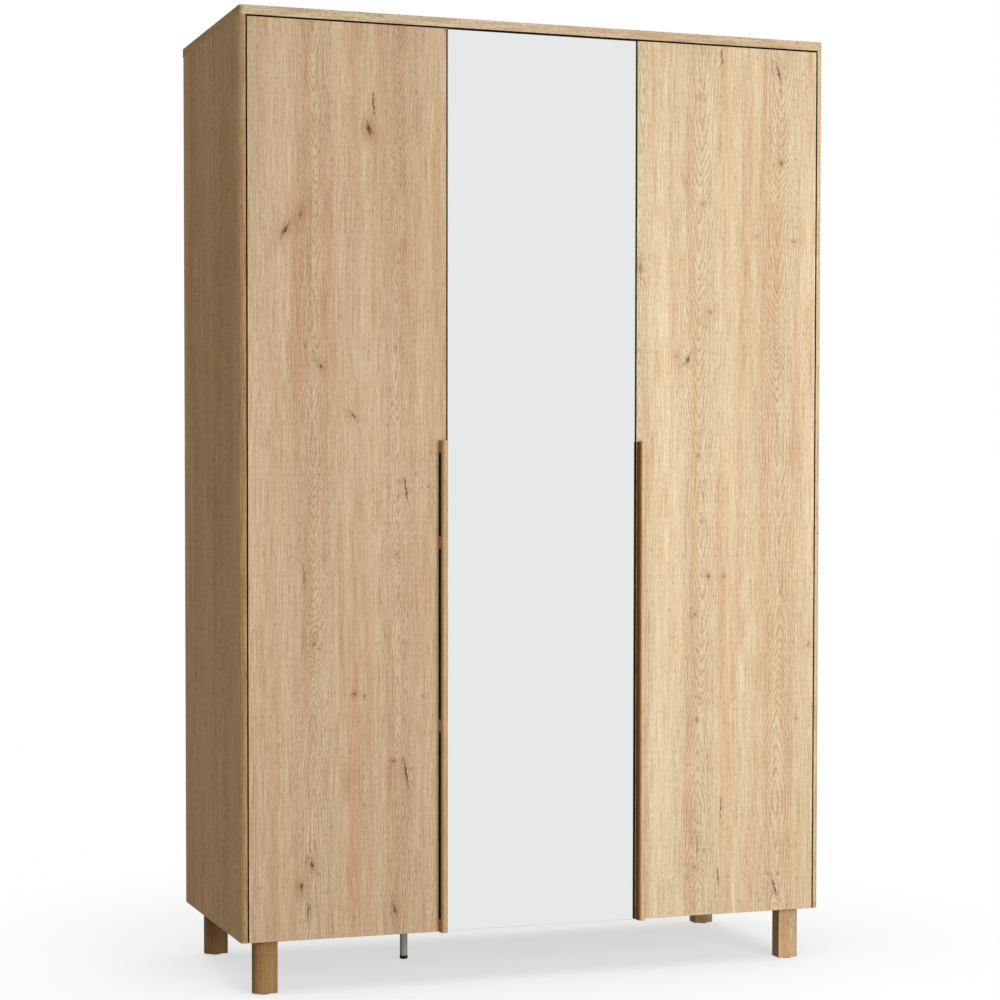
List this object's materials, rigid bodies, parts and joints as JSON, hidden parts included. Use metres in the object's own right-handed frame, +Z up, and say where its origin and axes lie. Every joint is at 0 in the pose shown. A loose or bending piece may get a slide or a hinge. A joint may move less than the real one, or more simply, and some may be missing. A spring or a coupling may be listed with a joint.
{
  "type": "wardrobe with doors",
  "caption": "Tall wardrobe on block legs with a mirror door between two oak-decor doors, vertical grip strips, shelves on one side and a hanging rail on the other.",
  "frame": {"origin": "on the floor, under the middle of the bounding box with the doors closed", "axes": "+Z up, the doors face -Y, +X is to the right seen from the front"},
  "size_m": [1.5, 0.614, 2.305],
  "materials": {
    "oak_carcass": "satin oak decor foil on chipboard, vertical grain",
    "oak_doors": "satin oak decor with cathedral figure, knots and cracks, vertical grain",
    "oak_handles": "satin oak decor wrapped round the profile",
    "oak_legs": "satin oak decor on a half-round block, vertical grain",
    "back_board": "pale coated hardboard, matte",
    "mirror": "silvered glass, ground edges",
    "plated_steel": "nickel plated pressed steel, satin",
    "zinc": "zinc plated fastener",
    "rail_chrome": "polished chrome plate",
    "foot_paint": "grey satin paint",
    "foot_cap": "dark moulded plastic, matte",
    "glide_plastic": "brown moulded plastic, matte",
    "white_plastic": "pale moulded plastic, matte",
    "buffer": "soft translucent pad"
  },
  "bodies": {
    "case": {"back_joiner_strip": "white_plastic", "back_nails": "zinc", "back_panel_left": "back_board", "back_panel_middle": "back_board", "back_panel_right": "back_board", "bottom_panel": "oak_carcass", "cam_bolts": "zinc", "cam_locks": "zinc", "centre_foot_flange": "foot_paint", "centre_foot_nut": "zinc", "centre_foot_screws": "zinc", "centre_foot_tube": "foot_paint", "door_buffers": "buffer", "hanging_rail": "rail_chrome", "hat_shelf": "oak_carcass", "hinge_arms_left": "plated_steel", "hinge_arms_mirror": "plated_steel", "hinge_arms_right": "plated_steel", "hinge_plates_left": "plated_steel", "hinge_plates_mirror": "plated_steel", "hinge_plates_right": "plated_steel", "hinge_screws_left": "zinc", "hinge_screws_mirror": "zinc", "hinge_screws_right": "zinc", "leg_bolts": "zinc", "leg_front_left": "oak_legs", "leg_front_right": "oak_legs", "leg_glides": "glide_plastic", "leg_inserts": "zinc", "leg_rear_left": "oak_legs", "leg_rear_right": "oak_legs", "partition": "oak_carcass", "rail_screws": "zinc", "rail_socket_left": "rail_chrome", "rail_socket_right": "rail_chrome", "shelf_1": "oak_carcass", "shelf_2": "oak_carcass", "shelf_3": "oak_carcass", "shelf_4": "oak_carcass", "shelf_5": "oak_carcass", "shelf_supports": "plated_steel", "side_panel_left": "oak_carcass", "side_panel_right": "oak_carcass", "top_panel": "oak_carcass"},
    "left_door": {"left_door_panel": "oak_doors", "left_handle": "oak_handles", "left_handle_screws": "zinc", "hinge_cups_left": "plated_steel", "cup_screws_left": "zinc"},
    "mirror_door": {"mirror_door_board": "oak_doors", "mirror_glass": "mirror", "hinge_cups_mirror": "plated_steel", "cup_screws_mirror": "zinc"},
    "right_door": {"right_door_panel": "oak_doors", "right_handle": "oak_handles", "right_handle_screws": "zinc", "hinge_cups_right": "plated_steel", "cup_screws_right": "zinc"},
    "centre_foot_adjuster": {"centre_foot_cap": "foot_cap", "centre_foot_stem": "zinc"}
  },
  "joints": [
    {"name": "left_door_swing", "type": "hinge", "parent": "case", "child": "left_door", "pos_m": [-0.732, -0.283, 1.2], "axis": [0, 0, -1], "range_deg": [0, 110]},
    {"name": "mirror_door_swing", "type": "hinge", "parent": "case", "child": "mirror_door", "pos_m": [-0.243, -0.283, 1.2], "axis": [0, 0, -1], "range_deg": [0, 90]},
    {"name": "right_door_swing", "type": "hinge", "parent": "case", "child": "right_door", "pos_m": [0.732, -0.283, 1.2], "axis": [0, 0, 1], "range_deg": [0, 110]},
    {"name": "centre_foot_adjust", "type": "slide", "parent": "case", "child": "centre_foot_adjuster", "axis": [0, 0, -1], "range_m": [0, 0.01]}
  ]
}
